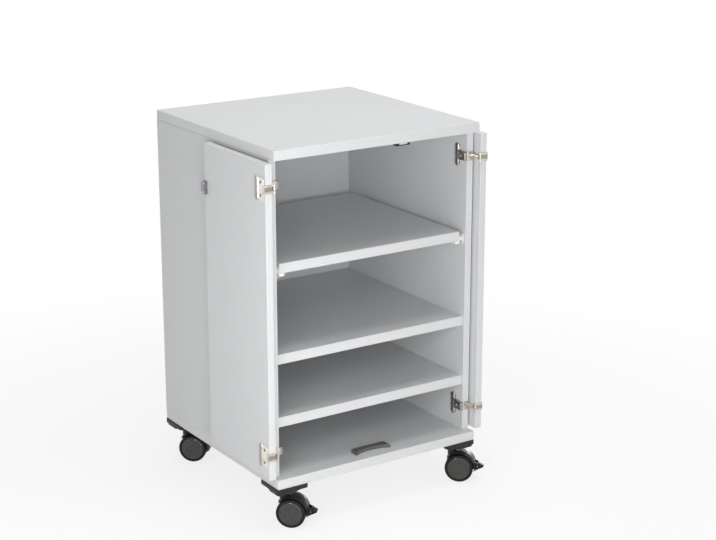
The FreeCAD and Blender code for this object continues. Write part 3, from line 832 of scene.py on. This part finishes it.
def make_catch():
    low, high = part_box("top_catch")
    piece = bmesh.new()
    merge(piece, block(low, high, CATCH_ROUND, 3))
    mouth = block(
        (low.x + MOUTH_INSET, low.y - SET_APART, low.z + MOUTH_LOW),
        (high.x - MOUTH_INSET, low.y + MOUTH_DEPTH, low.z + MOUTH_HIGH),
    )
    merge(piece, mouth, None, 1)
    finish_piece("top_catch_body", piece, (BRACKET_BLACK, ZINC), "cabinet", ("top_catch",))


def make_door_stop():
    low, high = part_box("door_stop")
    half = (high.x - low.x) / 2
    centre = (0, low.y + STOP_BOW - STOP_BOW_RADIUS)
    reach = math.degrees(math.asin(half / STOP_BOW_RADIUS))
    front = arc(centre, STOP_BOW_RADIUS, 90 + reach, 90 - reach, 28)
    back = high.y - STOP_CORNER
    right = arc((half - STOP_CORNER, back), STOP_CORNER, 0, 90, 6)
    left = arc((-half + STOP_CORNER, back), STOP_CORNER, 90, 180, 6)
    piece = bmesh.new()
    merge(piece, prism(front + right + left, low.z, high.z, STOP_ROUND, 4))
    for x in (-STOP_SCREWS, STOP_SCREWS):
        y = centre[1] + math.sqrt(STOP_BOW_RADIUS ** 2 - x ** 2)
        spot = (x, (y + high.y) / 2, high.z - STOP_SINK)
        merge(piece, screw(STOP_SCREW), Matrix.Translation(spot), 1)
    plastics = (STOP_GREY, TREAD_BLACK)
    finish_piece("door_stop_crescent", piece, plastics, "cabinet", ("door_stop",))


# Brackets and casters

BRACKET_WIDTH = 26 * MM
BRACKET_ROUND = 10 * MM
BRACKET_INNER = 6 * MM      # fillet between the arms
BRACKET_THICK = 12 * MM
BRACKET_TIP = 10 * MM
BRACKET_EDGE = 1.2 * MM
BRACKET_SCREWS = (0.68, 0.9)    # along an arm, as shares of its length
BLOCK_INSET = 3 * MM
BLOCK_WIDTH = 53 * MM
BLOCK_HEIGHT = 18 * MM
BLOCK_EDGE = 1.5 * MM
RIB = 3.5 * MM
RIB_INSET = 5 * MM
RIB_REACH = 24 * MM
HUB_RADIUS = 17 * MM
HUB_BORE = 5.2 * MM
HUB_BORE_DEPTH = 8 * MM
HUB_RIM = ((3 * MM, 0), (1 * MM, 0.6 * MM), (0, 2 * MM))     # inward, and up from its lower end
SEAT = 0.2 * MM             # tops of the block and ribs, kept inside the arms


def make_bracket(side, end):
    """Two arms along the panel's edges, and a ribbed block with a hub round the caster's stem."""
    node = f"{side}_{end}_bracket"
    low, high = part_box(node)
    stem = Vector(joints[f"{side}_{end}_swivel"]["pos_m"])
    corner = (outer_x(side, low, high), low.y if end == "front" else high.y)
    mirror = Matrix.Diagonal((SIDES[side], 1 if end == "front" else -1, 1, 1))
    place = Matrix.Translation((*corner, high.z)) @ mirror
    length, width, bend = high.x - low.x, BRACKET_WIDTH, BRACKET_ROUND
    piece = bmesh.new()

    def underside(x, y):
        return -BRACKET_THICK + (BRACKET_THICK - BRACKET_TIP) * max(x, y) / length

    crook = width + BRACKET_INNER
    outline = [
        *arc((bend, bend), bend, 180, 270, 6), *arc((length - bend, bend), bend, -90, 0, 6),
        *arc((length - bend, width - bend), bend, 0, 90, 6), *arc((crook, crook), BRACKET_INNER, 270, 180, 5),
        *arc((width - bend, length - bend), bend, 0, 90, 6), *arc((bend, length - bend), bend, 90, 180, 6),
    ]
    merge(piece, prism(outline, underside, 0, BRACKET_EDGE, 3), place)
    block_end = BLOCK_INSET + BLOCK_WIDTH
    block_outline = soft_rectangle((BLOCK_INSET, BLOCK_INSET), (block_end, block_end), BRACKET_ROUND)
    merge(piece, prism(block_outline, -BLOCK_HEIGHT, -SEAT, BLOCK_EDGE, 3), place, 2)

    rib_start = block_end - BRACKET_ROUND
    rib_stop = block_end + RIB_REACH

    def rib_low(x, _):
        return -BLOCK_HEIGHT + (BLOCK_HEIGHT - BRACKET_TIP) * (x - rib_start) / (rib_stop - rib_start)

    for near in (RIB_INSET, width - RIB_INSET - RIB):
        far = near + RIB
        rib_outline = [(rib_start, near), (rib_stop, near), (rib_stop, far), (rib_start, far)]
        for turn in (Matrix.Identity(4), SWAPPED):
            merge(piece, prism(rib_outline, rib_low, -BRACKET_TIP / 2), place @ turn, 2)

    hub_low, hub_top = stem.z - high.z, -SEAT * 2
    bore_top = hub_low + HUB_BORE_DEPTH
    hub = [(0, bore_top), (HUB_BORE, bore_top), (HUB_BORE, hub_low),
           *((HUB_RADIUS - inward, hub_low + up) for inward, up in HUB_RIM),
           (HUB_RADIUS, hub_top), (0, hub_top)]
    stem_at = (*(abs(a - b) for a, b in zip(stem.xy, corner)), 0)
    merge(piece, lathe(hub), place @ Matrix.Translation(stem_at))
    for along in (0, 1):
        for share in BRACKET_SCREWS:
            spot = [width / 2, width / 2, 0]
            spot[along] = share * length
            spot[2] = underside(spot[0], spot[1])
            merge(piece, screw(SCREW_RADIUS), place @ turn_to(DOWN, spot), 1)
    plastics = (BRACKET_BLACK, ZINC, HOOD_BLACK)
    finish_piece(f"{node}_moulding", piece, plastics, "cabinet", (node,))


HOOD_CLEAR = 2.5 * MM
HOOD_WALL = 3.5 * MM
HOOD_WIDTH = 44 * MM
HOOD_BAND = 4 * MM
HOOD_STEP = 1 * MM
HOOD_WEB = 13 * MM
HOOD_LOW = 28 * MM
HOOD_FRONT = 64 * MM
HOOD_STEPS = 30
HOOD_LIP = 0.02             # radians between the sections of a rounded end
HOOD_DROPS = (1.2, 0.35, 0)     # by which those sections stand back, in mm
HOOD_INNER_DROP = 0.4       # share of it at the inner face
WEB_LOW = 30 * MM
WEB_SINK = 0.5 * MM
WEB_BACK = 0.3 * MM
WEB_ROUND = 0.8 * MM
BOSS_RADIUS = 12 * MM
BOSS_GAP = 0.5 * MM         # below the bracket
BOSS_NECK = 0.8 * MM
BOSS_STEPS = 40
STEM_RADIUS = 5 * MM
STEM_TIP = (9 * MM, 9.5 * MM)   # its rim and its point above the bracket's lower end
WHEEL_GAP = 18 * MM
WHEEL_WIDTH = 20 * MM


def caster_place(name):
    """Local axes of a caster: the stem at the origin, x towards the axle, z up from the floor."""
    stem = Vector(joints[f"{name}_swivel"]["pos_m"])
    axle = Vector(joints[f"{name}_roll"]["pos_m"])
    trail = Vector((axle.x - stem.x, axle.y - stem.y, 0))
    heading = math.atan2(trail.y, trail.x)
    place = Matrix.Translation((stem.x, stem.y, 0)) @ Matrix.Rotation(heading, 4, "Z")
    return place, trail.length, axle.z, stem.z


def hood_section(angle, axle, radius_in, radius_out, half_width):
    """Crowned section of the hood, stepped at its sides, at an angle round the axle."""
    first, second = half_width - 2 * HOOD_BAND, half_width - HOOD_BAND
    step = HOOD_STEP
    # distances from the middle, and drops below the crown
    half = [(0, 0), (first * 0.6, 0.04 * MM), (first - 0.5 * MM, 0.12 * MM), (first, 0.4 * MM),
            (first + 0.1 * MM, step), (second - 0.5 * MM, step + 0.06 * MM), (second, step + 0.35 * MM),
            (second + 0.1 * MM, 2 * step), (half_width - 0.6 * MM, 2 * step + 0.06 * MM),
            (half_width, 2 * step + 0.7 * MM)]
    right = [(radius_out - drop, y) for y, drop in half]
    left = [(r, -y) for r, y in reversed(right[1:])]
    points = [*left, *right, (radius_in + 0.3 * MM, half_width), (radius_in, half_width - 0.4 * MM),
              (radius_in, -half_width + 0.4 * MM), (radius_in + 0.3 * MM, -half_width)]
    c, s = math.cos(angle), math.sin(angle)
    return [(axle[0] + r * c, y, axle[1] + r * s) for r, y in points]


def make_hood(side, end):
    name = f"{side}_{end}"
    place, trail, axle_z, stem_z = caster_place(name)
    axle = (trail, axle_z)
    inner = axle_z + HOOD_CLEAR
    outer = inner + HOOD_WALL
    first = math.asin((HOOD_LOW - axle_z) / outer)
    last = math.pi - math.asin((HOOD_FRONT - axle_z) / outer)
    piece = bmesh.new()
    lips = list(enumerate(HOOD_DROPS))
    start, span = first + 3 * HOOD_LIP, last - first - 6 * HOOD_LIP
    stations = [(first + i * HOOD_LIP, drop) for i, drop in lips]
    stations += [(start + span * i / HOOD_STEPS, 0) for i in range(HOOD_STEPS + 1)]
    stations += [(last - i * HOOD_LIP, drop) for i, drop in reversed(lips)]
    shell = loft([
        hood_section(angle, axle, inner + drop * HOOD_INNER_DROP * MM, outer - drop * MM,
                     HOOD_WIDTH / 2 - drop * MM)
        for angle, drop in stations
    ])
    for vert in shell.verts:
        vert.co.x = max(vert.co.x, -BOSS_RADIUS)
    merge(piece, shell, place)

    chord = math.degrees(math.asin((WEB_LOW - axle_z) / inner))
    web_radius, web_front = inner + WEB_SINK, -BOSS_RADIUS + WEB_BACK
    upright_from = math.degrees(math.acos(max((web_front - trail) / web_radius, -1)))
    web_outline = arc(axle, web_radius, chord, upright_from, 40)
    web_outline.append((web_front, web_outline[0][1]))
    web = prism(web_outline, -HOOD_WEB / 2, HOOD_WEB / 2, WEB_ROUND)
    merge(piece, web, place @ ON_SIDE)

    top, neck = stem_z - BOSS_GAP, BOSS_RADIUS - BOSS_NECK
    rim, point = (stem_z + height for height in STEM_TIP)
    boss = lathe([(0, HOOD_FRONT), (BOSS_RADIUS, HOOD_FRONT), (BOSS_RADIUS, top - 3 * MM),
                  (neck, top - 2.4 * MM), (neck, top - 1.4 * MM), (BOSS_RADIUS - 1.4 * MM, top),
                  (STEM_RADIUS, top), (STEM_RADIUS, rim), (0, point)], BOSS_STEPS)
    seat = inner + HOOD_WALL / 2
    for vert in boss.verts:
        if vert.co.z < HOOD_FRONT + TINY:
            across = vert.co.x - trail
            vert.co.z = max(HOOD_FRONT, axle_z + math.sqrt(max(seat ** 2 - across ** 2, 0)))
    merge(piece, boss, place)
    if end == "front":
        add_ears(piece, side)
    node = f"{name}_caster_hood"
    finish_piece(f"{node}_shell", piece, (HOOD_BLACK, ZINC), f"{name}_caster", (node,))


PEDAL_WIDTH = 16 * MM
PEDAL_LENGTH = 15 * MM
PEDAL_THICK = 20 * MM
PEDAL_TIP = 4 * MM
PEDAL_CLEAR = 5 * MM
PEDAL_RIM = 1.8 * MM
PEDAL_POCKET = 4 * MM
EAR = 3 * MM
EAR_TALL = 26 * MM          # where the ears leave the hood
EAR_END = 14 * MM           # beyond the pivot
EAR_EDGE = 0.6 * MM
PEDAL_SLIP = 0.5 * MM
PEDAL_DROP = 0.42           # of the root below the pivot, as a share of the thickness
PEDAL_EDGE = 0.5 * MM
ROOT_STEPS = 5
GRIP_RIBS = 4
GRIP_START = 0.4            # shares of the pedal's length
GRIP_PITCH = 0.15
GRIP_HALF = 0.6 * MM
GRIP_INSET = 2 * MM
GRIP_RISE = 0.4 * MM
GRIP_ROUND = 0.3 * MM


def pedal_place(side):
    """Local axes of a pedal with its pivot at the origin, the pivot from the axle, and the axle's height."""
    place, trail, axle_z, _ = caster_place(f"{side}_front")
    pivot = place.inverted() @ Vector(joints[f"{side}_brake_press"]["pos_m"])
    return place @ Matrix.Translation((pivot.x, 0, pivot.z)), pivot.x - trail, pivot.z - axle_z, axle_z


def add_ears(piece, side):
    """Two gussets from the hood's wall to the pedal's pin."""
    at_pivot, ahead, rise, axle_z = pedal_place(side)
    wall = axle_z + HOOD_CLEAR + HOOD_WALL / 2
    steps = 8
    heights = [EAR_TALL * (0.5 - i / steps) for i in range(steps + 1)]
    root = [(math.sqrt(wall ** 2 - (rise + z) ** 2) - ahead, z) for z in heights]
    outline = [(KNUCKLE_RADIUS, -EAR_END / 2), (KNUCKLE_RADIUS, EAR_END / 2), *root]
    for sign in (-1, 1):
        near = sign * (PEDAL_WIDTH / 2 + PEDAL_SLIP)
        far = near + sign * EAR
        merge(piece, prism(outline, min(near, far), max(near, far), EAR_EDGE), at_pivot @ ON_SIDE)
    reach = PEDAL_WIDTH / 2 + PEDAL_SLIP + EAR
    merge(piece, pin(PIN_RADIUS, -reach, reach), at_pivot @ ACROSS, 1)


def make_pedal(side):
    """A hollow-sided wedge on a barrel, its root following the hood at let-go and pressed."""
    at_pivot, ahead, rise, axle_z = pedal_place(side)
    pressed = math.radians(joints[f"{side}_brake_press"]["range_deg"][1])
    passing = axle_z + HOOD_CLEAR + HOOD_WALL + PEDAL_CLEAR
    c, s = math.cos(pressed), math.sin(pressed)
    centre = (rise * s - ahead * c, -ahead * s - rise * c)
    half = PEDAL_WIDTH / 2
    piece = bmesh.new()
    merge(piece, pin(KNUCKLE_RADIUS, -half, half), at_pivot @ ACROSS)
    lowest = -PEDAL_DROP * PEDAL_THICK
    root = []
    for i in range(ROOT_STEPS + 1):
        z = lowest * i / ROOT_STEPS
        root.append((max(0, centre[0] + math.sqrt(passing ** 2 - (z - centre[1]) ** 2)), z))
    tip = PEDAL_TIP / 2
    profile = [*root, (PEDAL_LENGTH, -tip), (PEDAL_LENGTH, tip), (0, PEDAL_THICK / 2)]
    lever = prism(profile, -half, half, 0)
    lever.normal_update()
    flanks = [f for f in lever.faces if len(f.verts) == len(profile)]
    bmesh.ops.inset_individual(lever, faces=flanks, thickness=PEDAL_RIM, depth=-PEDAL_POCKET)
    outside = [e for e in lever.edges if all(abs(abs(v.co.z) - half) < TINY for v in e.verts)]
    rounded(lever, outside, PEDAL_EDGE, 2)
    bmesh.ops.recalc_face_normals(lever, faces=lever.faces)
    merge(piece, lever, at_pivot @ ON_SIDE)
    slope = (PEDAL_THICK / 2 - tip) / PEDAL_LENGTH
    for i in range(GRIP_RIBS):
        along = PEDAL_LENGTH * (GRIP_START + GRIP_PITCH * i)
        height = PEDAL_THICK / 2 - slope * along
        rib = block(
            (along - GRIP_HALF, -half + GRIP_INSET, height - GRIP_HALF),
            (along + GRIP_HALF, half - GRIP_INSET, height + GRIP_RISE), GRIP_ROUND,
        )
        merge(piece, rib, at_pivot)
    node = f"{side}_brake_pedal"
    finish_piece(f"{node}_lever", piece, (HOOD_BLACK,), node, (node,))


WHEEL_SHOULDER = 4 * MM
WHEEL_RECESS = 1.2 * MM
WHEEL_STEPS = 96
WHEEL_SHARP = 40            # degrees
DISC_EDGE = 9 * MM          # from the tread
DISC_DOME = 0.28 * MM
AXLE_RADIUS = 4 * MM


def wheel_profile(radius, width):
    """Half section of a wheel from its inner hub to the middle of its outer face, in four bands."""
    shoulder, recess = WHEEL_SHOULDER, WHEEL_RECESS
    inside = [(0, 0), (12 * MM, 0), (12.6 * MM, recess), (radius - 8 * MM, recess), (radius - 7 * MM, 0)]
    tread = [*arc((radius - shoulder, shoulder), shoulder, -90, 0, 6),
             *arc((radius - shoulder, width - shoulder), shoulder, 0, 90, 6),
             (radius - 4.6 * MM, width - 0.2 * MM), (radius - 5.2 * MM, width - 1.6 * MM),
             (radius - 6.2 * MM, width - 1.9 * MM)]
    disc = radius - DISC_EDGE
    bevel = [(radius - 6.4 * MM, width - 1.7 * MM), (radius - 8.6 * MM, width - 0.4 * MM),
             (disc, width - DISC_DOME)]
    dome = [(share * disc, width - DISC_DOME * share ** 2) for share in (0.85, 0.6, 0.35, 0.1, 0)]
    return inside, tread, bevel, dome


def make_wheels(side, end):
    name = f"{side}_{end}"
    place, trail, axle_z, _ = caster_place(name)
    at_axle = place @ Matrix.Translation((trail, 0, axle_z))
    piece = bmesh.new()
    inside, tread, bevel, dome = wheel_profile(axle_z, WHEEL_WIDTH)
    for sign in (1, -1):
        out = at_axle @ turn_to((0, sign, 0), (0, sign * WHEEL_GAP / 2, 0))
        wheel = bmesh.new()
        bands = ((inside + tread[:1], 0), (tread, 1), (tread[-1:] + bevel, 3), (bevel[-1:] + dome, 0))
        for profile, material in bands:
            merge(wheel, lathe(profile, WHEEL_STEPS), out, material)
        bmesh.ops.remove_doubles(wheel, verts=wheel.verts, dist=WELD)
        merge(piece, wheel, None, None)
    half = WHEEL_GAP / 2 + SET_APART
    merge(piece, pin(AXLE_RADIUS, -half, half), at_axle @ ACROSS, 2)
    bmesh.ops.recalc_face_normals(piece, faces=piece.faces)
    node = f"{name}_wheels"
    plastics = (WHEEL_GREY, TREAD_BLACK, ZINC, RIM_BLACK)
    finish_piece(f"{node}_pair", piece, plastics, node, (node,), WHEEL_SHARP)


# Studio

CAMERA_AT = (-2.313, -3.670, 1.840)
CAMERA_YAW = math.radians(33.57)     # right of straight ahead
CAMERA_PITCH = math.radians(16.47)   # downwards
CAMERA_LENS = 87.3
FLOOR_SIZE = 60.0
FLOOR_GREY = 0.88
FLOOR_GLOW = 0.78           # share of plain white near the cart
FADE_START = 0.7            # metres from the cart's middle, over which that share grows to 1
FADE_STOP = 2.0
WORLD_LIGHT = 0.33


def seen_directly(tree):
    """1 for rays that show the stage itself: from the camera, in mirrors and through glass."""
    path = tree.nodes.new("ShaderNodeLightPath")
    total = path.outputs["Is Camera Ray"]
    for output in ("Is Glossy Ray", "Is Transmission Ray"):
        added = tree.nodes.new("ShaderNodeMath")
        added.operation = "MAXIMUM"
        tree.links.new(total, added.inputs[0])
        tree.links.new(path.outputs[output], added.inputs[1])
        total = added.outputs[0]
    return total


def make_floor():
    mesh = bpy.data.meshes.new("floor")
    half = FLOOR_SIZE / 2
    corners = [(-half, -half, 0), (half, -half, 0), (half, half, 0), (-half, half, 0)]
    mesh.from_pydata(corners, [], [(0, 1, 2, 3)])
    floor = add_object("floor", mesh)
    look = Look("pale_floor")
    look.tree.nodes.remove(look.shader)
    matte = look.node("ShaderNodeBsdfDiffuse", grey(FLOOR_GREY))
    glow = look.node("ShaderNodeEmission")
    distance = look.node("ShaderNodeVectorMath", look.place(), output=1, operation="LENGTH")
    fade = look.node("ShaderNodeMapRange", distance, FADE_START, FADE_STOP, FLOOR_GLOW,
                     interpolation_type="SMOOTHSTEP")
    share = look.math("MULTIPLY", fade, seen_directly(look.tree))
    mix = look.node("ShaderNodeMixShader", share, matte, glow)
    look.feed(look.tree.nodes["Material Output"].inputs["Surface"], mix)
    mesh.materials.append(look.material)


def make_world():
    world = bpy.data.worlds.new("studio")
    bpy.context.scene.world = world
    world.use_nodes = True
    tree = world.node_tree
    background = tree.nodes["Background"]
    background.inputs["Color"].default_value = (1, 1, 1, 1)
    strength = tree.nodes.new("ShaderNodeMapRange")
    tree.links.new(seen_directly(tree), strength.inputs["Value"])
    strength.inputs["To Min"].default_value = WORLD_LIGHT
    strength.inputs["To Max"].default_value = 1.0
    tree.links.new(strength.outputs[0], background.inputs["Strength"])


SOFTBOXES = {
    # name: place, what it points at, width, height, watts
    # Lamps that reflections show stay below the top panel, which would mirror them to the other side.
    "front": ((-1.2, -6.0, 1.5), (0.0, 0.0, 0.5), 2.4, 1.6, 60),
    "front_low": ((-1.2, -6.0, 0.47), (0.0, 0.0, 0.5), 2.6, 0.9, 18),
    "near": ((-1.25, -1.7, 1.05), (-0.3, -0.1, 0.5), 0.9, 1.4, 12.5),
    "near_low": ((-1.25, -1.7, 0.48), (-0.3, -0.1, 0.5), 1.4, 0.88, 8),
    "glint": ((-1.25, -0.93, 0.85), (-0.25, -0.3, 0.05), 0.3, 0.12, 2.6),
    "top": ((0.2, -0.3, 3.2), (0.0, 0.0, 0.9), 1.6, 1.6, 40),
    "side": ((2.6, 1.3, 0.5), (0.2, 0.0, 0.3), 0.8, 0.8, 12),
    "rear": ((1.6, 2.6, 0.46), (0.0, 0.0, 0.5), 3.4, 0.92, 24),
}
UNMIRRORED = {"front", "near"}      # high lamps that reflections leave out


def make_lights():
    for name, (spot, target, width, height, watts) in SOFTBOXES.items():
        lamp = bpy.data.lights.new(name, "AREA")
        lamp.shape = "RECTANGLE"
        lamp.size, lamp.size_y, lamp.energy = width, height, watts
        holder = add_object(name, lamp)
        holder.location = spot
        holder.rotation_euler = (Vector(target) - Vector(spot)).to_track_quat("-Z", "Y").to_euler()
        holder.visible_camera = False
        holder.visible_glossy = name not in UNMIRRORED


def make_camera():
    camera = bpy.data.cameras.new("camera")
    camera.lens = CAMERA_LENS
    camera.sensor_width = 36
    camera.clip_end = 100
    holder = add_object("camera", camera)
    holder.location = CAMERA_AT
    holder.rotation_euler = (math.pi / 2 - CAMERA_PITCH, 0, -CAMERA_YAW)
    bpy.context.scene.camera = holder


dress_boards()
for side in SIDES:
    for level in LEVELS:
        make_hinge_arm(side, level)
        make_hinge_leaf(side, level)
    make_cabinet_runner(side)
    make_shelf_runner(side)
    for end in ENDS:
        make_bracket(side, end)
        make_hood(side, end)
        make_wheels(side, end)
    make_pedal(side)
make_lock()
make_catch()
make_door_stop()
make_floor()
make_world()
make_lights()
make_camera()
bpy.context.scene.view_settings.view_transform = "Standard"
